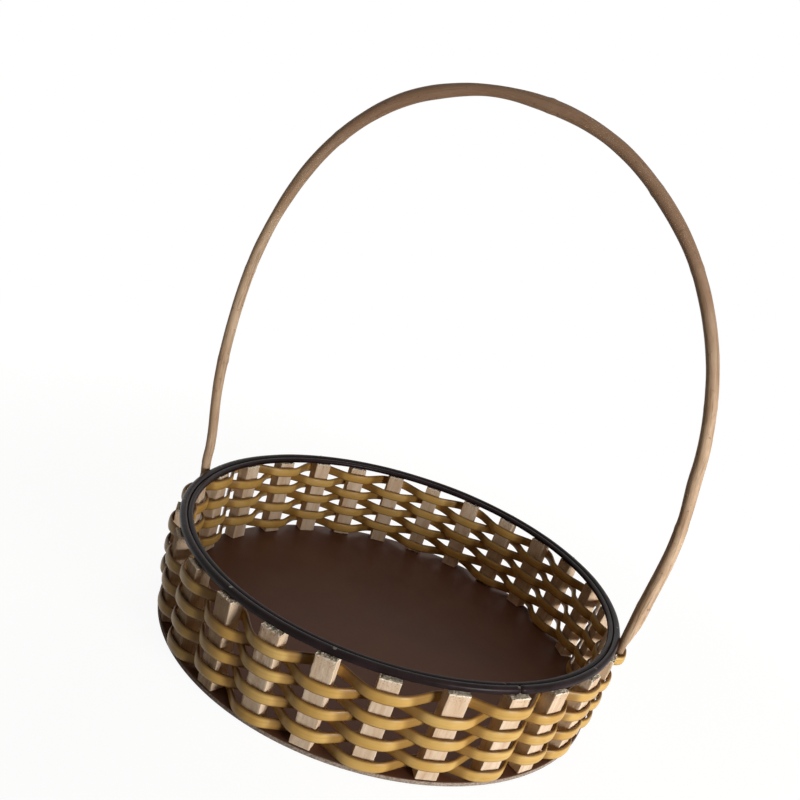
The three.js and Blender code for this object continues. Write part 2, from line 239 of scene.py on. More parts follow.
# %% [markdown]
# ## Writing materials as arithmetic
# A procedural material is a small calculation that runs at each point of the surface. In Blender
# that calculation is a graph of nodes. One function adds any node, and a Field stands for a number
# or colour that varies over the surface, so that adding or multiplying fields adds the Math nodes.
# A Look is one material: its shader, and names for the patterns that the basket needs.

# %% Nodes
def find(sockets, key):
    """One of a node's sockets, by its place in the row, its identifier or its name."""
    if isinstance(key, int):
        return sockets[key]
    return next(socket for socket in sockets if key in (socket.identifier, socket.name))


def plug(tree, socket, value):
    """Feeds a socket with a field, or sets it to a plain value."""
    if isinstance(value, Field):
        tree.links.new(value.socket, socket)
    elif socket.type == "RGBA":
        socket.default_value = (*value, 1)
    else:
        socket.default_value = value


def add_node(tree, kind, settings=None, inputs=None, output=0):
    """Adds a node, first its settings and then its inputs, and gives one of its outputs as a field."""
    new = tree.nodes.new("ShaderNode" + kind)
    for name, value in (settings or {}).items():
        setattr(new, name, value)
    for key, value in (inputs or {}).items():
        plug(tree, find(new.inputs, key), value)
    return Field(tree, find(new.outputs, output)) if len(new.outputs) else None


# %% Fields
class Field:
    """A number or a colour that varies over a surface: the output socket of some node."""

    def __init__(self, tree, socket):
        self.tree = tree
        self.socket = socket

    def math(self, operation, *others):
        """This field and up to two more through one Math node."""
        return add_node(self.tree, "Math", {"operation": operation}, dict(enumerate((self, *others))))

    def __add__(self, other):
        return self.math("ADD", other)

    def __sub__(self, other):
        return self.math("SUBTRACT", other)

    def __mul__(self, other):
        return self.math("MULTIPLY", other)

    def __pow__(self, other):
        return self.math("POWER", other)

    def __rsub__(self, other):
        return self * -1 + other

    __radd__ = __add__
    __rmul__ = __mul__

    def step(self, low, high):
        """0 below low, 1 above high, and a smooth S between them."""
        return add_node(self.tree, "MapRange", {"interpolation_type": "SMOOTHSTEP"},
                        {"Value": self, "From Min": low, "From Max": high}, "Result")


def split(vector):
    """The three numbers of a vector field."""
    return [add_node(vector.tree, "SeparateXYZ", None, {0: vector}, axis) for axis in range(3)]


def from_axis(x, y):
    """How far a place is from the basket's axis."""
    return (x * x + y * y) ** 0.5


# %% Looks
class Look:
    """A material with one glossy shader, and the graph that feeds it."""

    def __init__(self, name, **sockets):
        self.material = bpy.data.materials.new(name)
        self.material.use_nodes = True
        self.tree = self.material.node_tree
        self.shader = self.tree.nodes["Principled BSDF"]
        self.set(**sockets)

    def set(self, **sockets):
        """Sets the shader's sockets by name, with _ for a space."""
        for name, value in sockets.items():
            plug(self.tree, find(self.shader.inputs, name.replace("_", " ")), value)

    def mix(self, share, first, second):
        """The first colour where share is 0 and the second where it is 1."""
        return add_node(self.tree, "Mix", {"data_type": "RGBA"},
                        {"Factor_Float": share, "A_Color": first, "B_Color": second}, "Result_Color")

    def vector(self, x, y, z):
        """A vector field from three numbers."""
        return add_node(self.tree, "CombineXYZ", None, {0: x, 1: y, 2: z})

    def noise(self, vector, scale, detail=3, roughness=0.55):
        """A cloudy number about 0.5, with features of about one over the scale. Detail counts its
        finer layers, and roughness is how strong each is beside the one before."""
        return add_node(self.tree, "TexNoise", None,
                        {"Vector": vector, "Scale": scale, "Detail": detail, "Roughness": roughness})

    def bump(self, height, distance):
        """The normal of a surface raised by height times distance."""
        self.set(Normal=add_node(self.tree, "Bump", None, {"Height": height, "Distance": distance}))

    def lengths(self):
        """U and V of the skin in metres."""
        return split(add_node(self.tree, "UVMap", {"uv_map": "lengths"}))[:2]

    def inside(self):
        """The place in the piece, in metres."""
        return add_node(self.tree, "TexCoord", output="Object")

    def strand(self, girth):
        """For a strand with this girth: how far along it, and the cosine and the sine of the turn round
        it. The two of them have no seam, which the turn itself has."""
        along, across = self.lengths()
        turn = across * (2 * np.pi / girth)
        return along, turn.math("COSINE"), turn.math("SINE")

    def fibres(self, strand, pull, radius, scale, detail=3, roughness=0.6):
        """Noise read on a tube of the given radius, drawn out along the strand where pull is small."""
        along, out, up = strand
        return self.noise(self.vector(along * pull, out * radius, up * radius), scale, detail, roughness)


def colour(red, green, blue):
    """A colour as a screen shows it, from 0 to 255, as the linear numbers that light needs."""
    values = [value / 255 for value in (red, green, blue)]
    return tuple(v / 12.92 if v <= 0.04045 else ((v + 0.055) / 1.055) ** 2.4 for v in values)


# %% [markdown]
# ## Board
# The board is thin pressed fibre board. Its face is varnished dark brown, smooth enough for a soft
# sheen but not a mirror, with faint clouds where the varnish soaked in. Its cut edge and underside
# are bare, a greyer brown. A lathe would do for the shape; here the rings of the skin run from the
# middle of the underside out, round the soft edge and back to the middle of the top.

# %% Board material
def board_look():
    look = Look("dark_board", Specular_IOR_Level=0.15)
    spot = look.inside()
    x, y, z = split(spot)
    clouds = look.noise(spot, 14, 4)
    fibres = look.noise(spot, 900, 2, 0.6)
    varnish = look.mix(clouds.step(0.3, 0.7), colour(86, 53, 38), colour(99, 67, 49))
    bare = look.mix(fibres.step(0.35, 0.65), colour(132, 118, 106), colour(176, 162, 150))
    near_edge = from_axis(x, y).step(BOARD_RADIUS - 3 * MM, BOARD_RADIUS - 0.3 * MM)
    worn = near_edge * clouds.step(0.4, 0.6) * 0.5
    top = look.mix(worn, varnish, colour(96, 78, 64))
    face = z.step(BOARD_TOP - 0.6 * MM, BOARD_TOP - 0.15 * MM)
    look.set(Base_Color=look.mix(face, bare, top))
    look.set(Roughness=face * -0.38 + 0.8 + clouds * 0.1)
    look.bump(fibres * 0.6 + look.noise(spot, 220, 2), 0.05 * MM)
    return look.material


# %% Board
def make_board():
    """Rings about the axis: the profile goes along the underside, up the edge and back over the top,
    and each of its points is turned round the axis."""
    soft, sectors = 0.5 * MM, 216
    turn = np.linspace(0, np.pi / 2, 7)
    flat = np.concatenate([np.linspace(0.01, 0.96, 16), [0.98, 0.99]]) * (BOARD_RADIUS - soft)
    radius = np.concatenate([flat, BOARD_RADIUS - soft + soft * np.sin(turn),
                             BOARD_RADIUS - soft + soft * np.cos(turn), flat[::-1]])
    height = np.concatenate([np.zeros_like(flat), soft - soft * np.cos(turn),
                             BOARD_TOP - soft + soft * np.sin(turn), np.full_like(flat, BOARD_TOP)])
    angle = np.linspace(0, 2 * np.pi, sectors + 1)[:-1]
    return skin("board", around(radius[:, None], angle[None], height[:, None]))


board = place(make_board(), board_look(), "dark_board", "base_board")
print("board", len(board.data.polygons), "faces")

# %% [markdown]
# ## Stakes
# Each stake is a short length of sawn pine. The saw left the faces furry and the ends ragged, with
# a few fibres standing up, and no two are quite alike. A block with bevelled edges would look like
# plastic, so every stake is its own skin with noise in its faces, a tilted end and splinters.
# The weave pushes the stakes a little sideways; the cane below follows the same drift.

# %% Where the stakes stand
# How many degrees each stake has been pushed round the ring, from the front one on.
SIDEWAYS = [-0.7, -0.9, 0.0, 0.8, -0.8, -0.3, 0.0, 0.1, -0.6, -0.6, 0.5, 0.3, 0.4, 0.8, 0.9, 0.5, 0.2,
            -0.7, -0.9, -0.6, 0.1, 0.3, 0.0, 0.3, 0.5, 0.4, 0.1]


def drift(stake):
    """How far round the ring a stake has been pushed, in radians, and everything between stakes with
    it. Stakes are counted from the front one, at -Y, and the count may have a fraction."""
    return np.radians(np.interp(np.mod(stake, STAKES), np.arange(STAKES + 1), SIDEWAYS + SIDEWAYS[:1]))


def stake_angle(stake):
    """The angle of a stake about the basket's axis, in radians."""
    return FRONT + np.asarray(stake) * STEP + drift(stake)


def wall_radius(height):
    """Radius of the middle of the stakes, which lean out."""
    foot = TOP_RADIUS - STAKE_LEAN - STAKE_DEPTH / 2
    return foot + STAKE_LEAN * (height - STAKE_FOOT) / (STAKE_TOP - STAKE_FOOT)


# %% Stake material
def stake_look():
    look = Look("pine", Roughness=0.9, Specular_IOR_Level=0.05)
    spot = look.inside()
    x, y, z = split(spot)
    grain = look.noise(look.vector(x, y, z * 0.06), 900, 4, 0.65)
    broad = look.noise(look.vector(x, y, z * 0.15), 160, 3)
    saw = look.noise(look.vector(x * 0.25, y * 0.25, z), 1100, 2, 0.5)
    light = look.mix(broad.step(0.3, 0.7), colour(212, 184, 154), colour(232, 212, 188))
    wood = look.mix(grain.step(0.52, 0.75) * 0.5, light, colour(176, 134, 104))
    ends = z.step(STAKE_TOP - 1.4 * MM, STAKE_TOP - 0.3 * MM)
    # Painted light: the top ends are painted near white, standing in for light falling on the stakes' tops.
    painted_lit_ends = look.mix(ends, wood, colour(255, 246, 226))
    near_end = z.step(STAKE_TOP - 8 * MM, STAKE_TOP - 1 * MM)
    specks = near_end * look.noise(spot, 1000, 3, 0.6).step(0.56, 0.64)
    look.set(Base_Color=look.mix(specks * 0.65, painted_lit_ends, colour(128, 92, 62)))
    look.bump(grain + saw * 0.7 + ends * look.noise(spot, 1300, 3) * 0.5, 0.25 * MM)
    return look.material


# %% Stakes
def block_outline(width, depth, corner, sides):
    """Points round a rectangle with rounded corners: as many on each edge of the plain rectangle, each
    pulled in to the rounded one."""
    share = np.arange(sides) / sides * 4
    edge, along = np.floor(share), (share % 1) * 2 - 1
    out = np.select([edge == 0, edge == 1, edge == 2], [np.ones(sides), -along, -np.ones(sides)], along)
    aside = np.select([edge == 0, edge == 1, edge == 2], [along, np.ones(sides), -along], -np.ones(sides))
    points = np.stack([out * depth / 2, aside * width / 2], 1)
    core = np.clip(points, [corner - depth / 2, corner - width / 2], [depth / 2 - corner, width / 2 - corner])
    return core + unit(points - core) * corner


SPLINTER_ROOM = 0.5 * MM


def make_stake(number):
    """Rings go out from the middle of the foot, up the four faces, and in again over the top. Each ring
    is the rounded rectangle times a share, plus noise along the way out. Rings at the top are tilted
    and ragged, and a few splinters stand up at its edge."""
    rng = np.random.default_rng(100 + number)
    sides, levels, cap_rings = 72, 44, 9
    top_edge = cap_rings + levels - 1
    fur, rag = 0.045 * MM, 0.22 * MM
    width = STAKE_WIDTH - rng.uniform(0.1, 0.7) * MM
    depth = STAKE_DEPTH - rng.uniform(0.0, 0.4) * MM
    outline = block_outline(width, depth, 0.45 * MM, sides)
    cap = np.linspace(0.05, 0.97, cap_rings)
    share = np.concatenate([cap, np.ones(levels), cap[::-1]])
    level = np.concatenate([np.zeros(cap_rings), np.linspace(0, 1, levels) ** 0.9, np.ones(cap_rings)])
    height = STAKE_FOOT + (STAKE_TOP - STAKE_FOOT - SPLINTER_ROOM) * level
    angle = float(stake_angle(number))
    outward = np.array([math.cos(angle), math.sin(angle), 0])
    aside = np.array([-math.sin(angle), math.cos(angle), 0])
    furry = rng.normal(0, fur, (len(share), sides)) * (share > 0.96)[:, None]
    swell = 1 + 0.008 * ripple(level, number, (1, 2, 3))
    local = outline[None] * (share * swell)[:, None, None]
    local = local + unit(outline)[None] * furry[:, :, None]
    top = (np.arange(len(share)) >= top_edge)[:, None]
    tilt = rng.uniform(-0.05, 0.05, 2)
    ragged = rng.normal(0, rag, (len(share), sides))
    splinters = np.zeros(sides)
    for at in rng.integers(0, sides, 5):
        splinters[at] = rng.uniform(0.3, 0.75) * MM
    rise = top * (local @ tilt + ragged)
    rise[top_edge:top_edge + 2] += splinters
    rise = np.minimum(rise, 0.9 * SPLINTER_ROOM)
    centre = wall_radius(height)[:, None, None] * outward + np.array([0, 0, 1]) * height[:, None, None]
    rings = centre + local[:, :, :1] * outward + local[:, :, 1:] * aside
    rings[:, :, 2] += rise
    return skin(f"pine_stake_{number + 1:02d}", rings)


pine = stake_look()
for number in range(STAKES):
    place(make_stake(number), pine, "pine", f"stake_{number + 1:02d}")
print(STAKES, "stakes")

# %% [markdown]
# ## Where the legs stand
# The rod is pushed down beside one stake on each side, so its place is needed before the cane can
# pass over its flat ends. Each leg touches the outside of the rim.

# %% Legs
ROD_THICK, ROD_THIN = 9.2 * MM, 6.2 * MM
TONGUE_END = rod_low[2]
LEG_STAKE = 7


def leg(side, diameter, swell, swell_height, squareness, turn, lift):
    """A leg of the handle stands outside the rim, on the front side of the stake that is LEG_STAKE
    places round from the front one. Up to swell_height it swells outwards. The given turn of the cane
    passes over its flat end and may be lifted there."""
    radius = RIM_OUTSIDE + CLEARANCE + diameter / 2
    beside = (STAKE_WIDTH / 2 + CLEARANCE + diameter / 2) / radius
    angle = FRONT + side * (LEG_STAKE * STEP - beside)
    return {"side": side, "diameter": diameter, "angle": angle, "swell": swell,
            "swell_height": swell_height, "squareness": squareness, "turn": turn, "lift": lift,
            "foot": around(radius, angle, 0)}


LEFT_LEG = leg(side=-1, diameter=ROD_THIN, swell=6.5 * MM, swell_height=155 * MM, squareness=2.29,
               turn=5, lift=0)
RIGHT_LEG = leg(side=1, diameter=ROD_THICK, swell=1.2 * MM, swell_height=138 * MM, squareness=2.08,
                turn=6, lift=3.4 * MM)
HANDLE_ALONG = unit(RIGHT_LEG["foot"] - LEFT_LEG["foot"])
HANDLE_MIDDLE = RIGHT_LEG["foot"] - HANDLE_ALONG * (RIGHT_LEG["foot"] @ HANDLE_ALONG)
HANDLE_ASIDE = np.array([-HANDLE_ALONG[1], HANDLE_ALONG[0], 0])
print("legs at", [round(math.degrees(one["angle"]), 1) for one in (LEFT_LEG, RIGHT_LEG)], "degrees")

# %% [markdown]
# ## Cane
# The cane is one strand with round edges that passes inside one stake and outside the next. With an
# odd count of stakes it changes side from turn to turn by itself. Seen from above its line is a wave
# that lies flat on each stake and runs straight across the ring between two: a triangle wave, made
# larger than its limits and then pressed back between them, which rounds its corners. Each turn
# keeps level for most of the way round and then climbs on to the next row.
# Real cane is honey yellow with fine fibres along it. Its upper and lower edges and the places where it
# dives between stakes are browner with painted shade. The UV map knows both directions, so the fibres
# follow every bend, and the distance from the middle of the stakes tells where to paint the dive's shade.

# %% Cane's section
CANE_SECTION = oval(CANE_THICKNESS / 2, CANE_HEIGHT / 2, 20, 2.4)
CANE_GIRTH = girth_of(CANE_SECTION)
print(f"cane {1000 * CANE_GIRTH:.1f} mm round")


# %% Cane material
def cane_look():
    look = Look("cane", Coat_Weight=0.1, Coat_Roughness=0.25, Specular_IOR_Level=0.18)
    strand = look.strand(CANE_GIRTH)
    up = strand[2]
    spot = look.inside()
    fibre = look.fibres(strand, 0.035, 4 * MM, 900)
    patch = look.noise(spot, 28)
    small = look.noise(spot, 120)
    honey = look.mix(patch.step(0.3, 0.7), colour(194, 152, 78), colour(216, 180, 108))
    streaked = look.mix(fibre.step(0.45, 0.75) * 0.3, honey, colour(150, 106, 46))
    # Painted shade: the strand's upper and lower edges are painted browner, as if its section were rounder.
    painted_edge_shade = (up * up).step(0.2, 1.0)
    edge_shaded = look.mix(painted_edge_shade * 0.9, streaked, colour(104, 68, 24))
    # Painted shade: the cane is painted browner near the middle of the wall, where it dives between stakes.
    x, y, z = split(spot)
    lean = STAKE_LEAN / (STAKE_TOP - STAKE_FOOT)
    aside = from_axis(x, y) - z * lean - wall_radius(0)
    painted_dive_shade = 1 - (aside * aside).step((2 * MM) ** 2, (5.4 * MM) ** 2)
    dive_shaded = look.mix(painted_dive_shade * 0.7, edge_shaded, colour(122, 84, 34))
    look.set(Base_Color=look.mix(small.step(0.6, 0.8) * 0.25, dive_shaded, colour(220, 196, 138)))
    look.set(Roughness=fibre * 0.2 + 0.32)
    look.bump(fibre + small * 0.4, 0.06 * MM)
    return look.material


# %% Cane's line
# The cane starts at SEAM_STAKE, counted from the front one, and lies flat for FLAT_END of a step on
# either side of each stake. Two turns meet behind a stake, and each stops a BUTT_GAP short of there.
SEAM_STAKE = -4
FLAT_END = 0.21
RINGS_PER_STEP = 36
BUTT_GAP = 0.1 * MM


def side_wave(steps):
    """-1 where the cane is inside, at even places, and 1 where it is outside, at odd ones: a triangle
    wave times an overshoot, over the fourth root of one plus its own fourth power."""
    aside = np.abs(np.mod(steps, 2) - 1)
    wave = (0.5 - aside) / (0.5 - FLAT_END)
    return wave / (1 + wave ** 4) ** (1 / 4)


def cane_height(steps):
    """Height of the cane after so many stakes: level at first, then up to the next row along the
    fourth power of the share of the turn, and never into the rim."""
    turn = np.maximum(0, np.floor(steps / STAKES))
    share = np.maximum(0, steps / STAKES - turn)
    return np.minimum(HIGHEST_ROW, LOWEST_ROW + ROW_PITCH * (turn + share ** 4))


def over_leg(radius, angle, one):
    """The cane's radius where it passes outside a leg, and how near the leg it is, as a bell of Gauss.
    The radius is the larger of its own and an arch over the leg, joined by a soft maximum, which is
    the log of a sum of exponentials."""
    aside = np.abs((angle - one["angle"] + np.pi) % (2 * np.pi) - np.pi) * RIM_OUTSIDE
    crest = TONGUE_OUTSIDE + CANE_THICKNESS / 2 + CLEARANCE
    arch = crest - np.maximum(aside - one["diameter"] / 2, 0) ** 2 / (4 * MM)
    soft, reach = 0.7 * MM, 9 * MM
    return soft * np.logaddexp(radius / soft, arch / soft), np.exp(-(aside / reach) ** 2)


# %% Cane's rings
def cane_rings(turn):
    """The rings of one turn: an oval with its long side up, square to the strand's line."""
    first = turn * STAKES + turn % 2
    last = TURNS * STAKES - 1 if turn == TURNS - 1 else (turn + 1) * STAKES + (turn + 1) % 2
    gap = BUTT_GAP / (TOP_RADIUS * STEP)
    start = first - FLAT_END if turn == 0 else first + gap
    end = last + FLAT_END if turn == TURNS - 1 else last - gap
    steps = np.linspace(start, end, int((end - start) * RINGS_PER_STEP))
    wave = side_wave(steps)
    angle = stake_angle(SEAM_STAKE + steps)
    height = cane_height(steps)
    calm = smooth_step(steps - start, 0, 2) * smooth_step(end - steps, 0, 2)
    waver_up, waver_out = 0.22 * MM, 0.12 * MM
    height = height + waver_up * ripple(steps, 7 * turn, (2, 3, 5, 9, 14), STAKES) * calm
    radius = wall_radius(height) + CANE_SWING * wave
    radius = radius + waver_out * ripple(steps, 7 * turn + 1, (5, 8, 13, 21), STAKES) * calm
    for one in (LEFT_LEG, RIGHT_LEG):
        if one["turn"] == turn:
            radius, near = over_leg(radius, angle, one)
            height = height + one["lift"] * near
    centres = around(radius, angle, height)
    ahead = np.gradient(centres, axis=0)
    ahead[:, 2] = 0
    ahead = unit(ahead)
    outward = np.stack([ahead[:, 1], -ahead[:, 0], np.zeros(len(ahead))], 1)
    downward = np.tile([0.0, 0.0, -1.0], (len(ahead), 1))
    swell = 1 + 0.015 * ripple(steps, 7 * turn + 2, (4, 7, 11, 17), STAKES)
    tall = np.stack([swell, swell * (0.985 + 0.045 * wave ** 2)], 1)
    return centres, tube(centres, outward, downward, CANE_SECTION[None] * tall[:, None])


# %% Cane
cane = cane_look()
for turn in range(TURNS):
    centres, rings = cane_rings(turn)
    piece = place(skin(f"cane_turn_{turn + 1}", rings, girth=CANE_GIRTH), cane, "cane", f"weaver_{turn + 1}")
    print(piece.name, f"{path_lengths(centres)[-1]:.2f} m of cane")

# %% [markdown]
# ## Rim
# Two strands lie side by side on the stakes, the outer one a little thicker. Their section is a
# little squarer than a circle, so that less light falls between them. They are near black with a soft
# cold sheen, slightly uneven, and the two ends of each meet in a butt joint, where a thin line shows.
# Thin lengthwise scratches and a few dull rubbed spots keep the sheen from looking wet.

# %% Rim material
def rim_look():
    look = Look("dark_strand", Specular_IOR_Level=0.09)
    along, across = look.lengths()
    spot = look.inside()
    line = look.noise(look.vector(along * 0.02, across, 0.0), 1500, 3, 0.6)
    rubbed = look.noise(spot, 60, 4)
    base = look.mix(rubbed.step(0.35, 0.7), colour(26, 15, 15), colour(40, 27, 30))
    look.set(Base_Color=look.mix(line.step(0.6, 0.8) * 0.3, base, colour(62, 50, 58)))
    look.set(Roughness=rubbed * 0.15 + 0.24)
    look.bump(line * 0.5 + rubbed * 1.5 + look.noise(spot, 400, 3), 0.1 * MM)
    return look.material


# %% Rim
SOLID_STRAND_SIDES = 8
RIM_JOINT_GAP = 0.24 * MM


def make_strand(name, low, high, joint, seed, outwards=0.0):
    """A strand bent into a ring, from one side of its butt joint to the other. The joint is counted in
    steps from the front. The solid strand's box ends at flat sides, which are nearer its middle than
    its corners by a cosine. The strand's radius and its line waver a little, and its ends are rounded
    over."""
    thick = (high[2] - low[2]) / math.cos(math.pi / SOLID_STRAND_SIDES)
    radius = high[0] - thick / 2 + outwards
    share = np.linspace(0, 1, 721)
    to_end = np.minimum(share, 1 - share) * 2 * np.pi * radius
    soft_end, waver_out, waver_up = 1.1 * MM, 0.05 * MM, 0.06 * MM
    half = thick / 2 * np.sqrt(1 - 0.55 * (1 - smooth_step(to_end, 0, soft_end)) ** 2)
    start, sweep = RIM_JOINT_GAP / 2 / radius, 2 * np.pi - RIM_JOINT_GAP / radius
    angle = FRONT + joint * STEP + start + share * sweep
    line = radius + waver_out * ripple(share, seed, (3, 5, 8, 13, 21))
    height = (low[2] + high[2]) / 2 + waver_up * ripple(share, seed + 1, (3, 5, 8, 13))
    half = half * (1 + 0.012 * ripple(share, seed + 2, (7, 12, 19, 31)))
    centres = around(line, angle, height)
    outward = around(1.0, angle, 0.0)
    downward = np.tile([0.0, 0.0, -1.0], (len(share), 1))
    return skin(name, tube(centres, outward, downward, oval(1, 1, 28, 2.5)[None] * half[:, None, None]))


dark = rim_look()
outer_strand = make_strand("rim_outer_strand", outer_low, outer_high, joint=3.05, seed=31)
inner_strand = make_strand("rim_inner_strand", inner_low, inner_high, joint=2.85, seed=47, outwards=0.25 * MM)
place(outer_strand, dark, "dark_strand", "rim_outer")
place(inner_strand, dark, "dark_strand", "rim_inner")
print("rim of two strands")

# %% [markdown]
# ## Handle
# The handle is a young branch, peeled and bent while green. It is thin at one end and thick at the
# other, wavers a little along its length and swells at each old twig. The bark's edge left darker
# streaks. Its two ends are shaved flat so that they slide down between the rim, a stake and the cane.

# %% Handle material
ROD_GIRTH = math.pi * ROD_THICK


def rod_look():
    look = Look("peeled_wood", Coat_Weight=0.04, Coat_Roughness=0.4, Specular_IOR_Level=0.35)
    strand = look.strand(ROD_GIRTH)
    fibre = look.fibres(strand, 0.05, 4 * MM, 900, 4, 0.62)
    stain = look.fibres(strand, 0.25, 3 * MM, 170)
    height = split(look.inside())[2]
    wood = look.mix(stain.step(0.3, 0.72), colour(180, 148, 116), colour(208, 180, 150))
    # Painted shade: the rod is painted darker towards the crown, standing in for shade on its underside.
    crown = look.mix(height.step(200 * MM, 330 * MM) * 0.8, wood, colour(118, 88, 66))
    streaked = look.mix(fibre.step(0.48, 0.72) * 0.7, crown, colour(116, 86, 62))
    marks = look.fibres(strand, 1, 4 * MM, 300, 2, 0.55).step(0.64, 0.73)
    look.set(Base_Color=look.mix(marks * 0.6, streaked, colour(90, 62, 42)))
    look.set(Roughness=stain * 0.25 + 0.46)
    look.bump(fibre + stain * 0.6, 0.2 * MM)
    return look.material


# %% Handle's line
CROWN_SHIFT, CROWN_HEIGHT = -11 * MM, 361.4 * MM
SHAVED_LENGTH = 20 * MM
# Crooked places: share of the length, half of their width as a share, millimetres to the outside.
KINKS = [(0.053, 0.030, -1.6), (0.421, 0.022, -0.5), (0.607, 0.038, -1.0), (0.736, 0.040, 0.4),
         (0.832, 0.020, -0.9), (0.898, 0.036, 1.4)]


def half_line(one):
    """One leg from its flat end to the crown, as (across, height): straight up beside the rim, then
    out along a quarter of a sine, then over in a quarter of a superellipse, whose cosine and sine are
    raised to two over the squareness."""
    foot = float(one["foot"] @ HANDLE_ALONG)
    widest = foot + one["side"] * one["swell"]
    low = np.linspace(TONGUE_END, outer_low[2], 14)[:-1]
    rise = np.linspace(0, 1, 30)[:-1]
    turn = np.linspace(0, np.pi / 2, 160)
    power = 2 / one["squareness"]
    across = [np.full_like(low, foot), foot + (widest - foot) * np.sin(rise * np.pi / 2),
              CROWN_SHIFT + (widest - CROWN_SHIFT) * np.abs(np.cos(turn)) ** power]
    height = [low, outer_low[2] + (one["swell_height"] - outer_low[2]) * rise,
              one["swell_height"] + (CROWN_HEIGHT - one["swell_height"]) * np.sin(turn) ** power]
    return np.stack([np.concatenate(across), np.concatenate(height)], 1)


def rod_line():
    """Even points up the left leg, over the crown and down the right one, the share of the length that
    each is at, and that length. Bells of Gauss push the line out or in where the branch grew crooked,
    but not beside the rim."""
    both = np.concatenate([half_line(LEFT_LEG)[:-1], half_line(RIGHT_LEG)[::-1]])
    gone = path_lengths(both)
    even = np.linspace(0, gone[-1], 560)
    flat = np.stack([np.interp(even, gone, both[:, 0]), np.interp(even, gone, both[:, 1])], 1)
    ahead = unit(np.gradient(flat, axis=0))
    bend = sum(rise * MM * np.exp(-((even / gone[-1] - at) / wide) ** 2) for at, wide, rise in KINKS)
    bend = bend * smooth_step(flat[:, 1], outer_high[2], outer_low[2] + SHAVED_LENGTH)
    return flat + np.stack([-ahead[:, 1], ahead[:, 0]], 1) * bend[:, None], even / gone[-1], gone[-1]


# %% Handle
# Old twigs: share of the length, place round the rod in radians, millimetres of height.
TWIGS = [(0.12, 0.3, 0.35), (0.2, 2.0, 0.4), (0.33, 1.0, 0.45), (0.50, 2.6, 0.55), (0.6, 0.4, 0.4),
         (0.665, 1.9, 0.6), (0.77, 4.4, 0.4), (0.87, 5.4, 0.6), (0.945, 1.2, 0.4)]
# Thicker and thinner places: share of the length, half of their width as a share, millimetres.
SWELLINGS = [(0.12, 0.02, 0.25), (0.245, 0.02, -0.3), (0.40, 0.03, 0.3), (0.455, 0.022, -0.55),
             (0.51, 0.02, 0.3), (0.62, 0.02, 0.25), (0.86, 0.015, -0.3), (0.93, 0.03, 0.2)]


def make_rod():
    """Rings along the handle's line. The radius grows from the thin end with a power of the share of
    the length, swells at each twig, and is shaved flat on its outside towards the rim. Except at the
    thick end it shrinks a little, to just inside the middles of the solid rod's ten flat sides."""
    flat, share, length = rod_line()
    sides, taper, slimmer = 32, 0.6, 0.055
    sway_width, knot_length, soft_end = 0.35 * MM, 2.2 * MM, 1.2 * MM
    radius = (ROD_THIN + (ROD_THICK - ROD_THIN) * share ** taper) / 2
    radius = radius + sum(rise * MM * np.exp(-((share - at) / wide) ** 2) for at, wide, rise in SWELLINGS)
    radius = radius * (1 + 0.012 * ripple(share, 5, (9, 15, 26, 41)))
    radius = radius * (1 - slimmer * smooth_step(1 - share, 0.04, 0.3))
    sway = sway_width * ripple(share, 6, (2, 4, 7, 11)) * smooth_step(flat[:, 1], 70 * MM, 130 * MM)
    centres = HANDLE_MIDDLE + flat[:, :1] * HANDLE_ALONG + sway[:, None] * HANDLE_ASIDE
    centres[:, 2] = flat[:, 1]
    ahead = unit(np.gradient(centres, axis=0))
    aside = np.tile(HANDLE_ASIDE, (len(ahead), 1))
    inward = -unit(np.cross(ahead, aside))
    angle = np.arange(sides) / sides * 2 * np.pi
    outline = oval(1, 1, sides)[None] * radius[:, None, None]
    for at, way, rise in TWIGS:
        knot = np.exp(-((share - at) * length / knot_length) ** 2)[:, None]
        facing = 0.35 + 0.65 * np.exp(-((angle - way + np.pi) % (2 * np.pi) - np.pi) ** 2 / 0.5)
        outline = outline * (1 + rise * MM / radius[:, None] * knot * facing)[:, :, None]
    shaved = np.clip((outer_low[2] + SHAVED_LENGTH - flat[:, 1]) / SHAVED_LENGTH, 0, 1)
    full = 1.1 * radius
    outside = -full + (full + radius - TONGUE_THICKNESS) * shaved
    outline = np.stack([np.maximum(outline[:, :, 0], outside[:, None]), outline[:, :, 1]], 2)
    to_end = np.minimum(share, 1 - share) * length
    outline = outline * np.sqrt(1 - 0.5 * (1 - smooth_step(to_end, 0, soft_end)) ** 2)[:, None, None]
    return skin("peeled_rod", tube(centres, inward, aside, outline), girth=ROD_GIRTH)


rod = place(make_rod(), rod_look(), "peeled_wood", "handle_rod")
print("handle", len(rod.data.vertices), "points")

# %% [markdown]
# ## Nails
# Small wire nails hold the rim to the stakes and the legs to the rim. Only their heads show. Each
# head is a low dome with a soft edge, dull from handling.

# %% Nail material
def nail_look():
    look = Look("steel", Metallic=1.0)
    spot = look.inside()
    tarnish = look.noise(spot, 900, 3)
    look.set(Base_Color=look.mix(tarnish.step(0.35, 0.7), colour(70, 64, 60), colour(118, 112, 106)))
    look.set(Roughness=tarnish * 0.3 + 0.35)
    look.bump(tarnish, 0.05 * MM)
    return look.material


# %% Nails
# A nail's head as depth and radius in millimetres: a low dome with a soft edge.
HEAD_PROFILE = [(0.0, 0.3), (0.03, 0.7), (0.08, 0.95), (0.2, 1.15), (0.45, 1.15), (0.58, 1.05), (0.6, 0.58)]
SHANK_RADIUS, POINT_RADIUS, CONE_LENGTH = 0.58, 0.1, 1.2
HEAD_SINK = 0.2 * MM


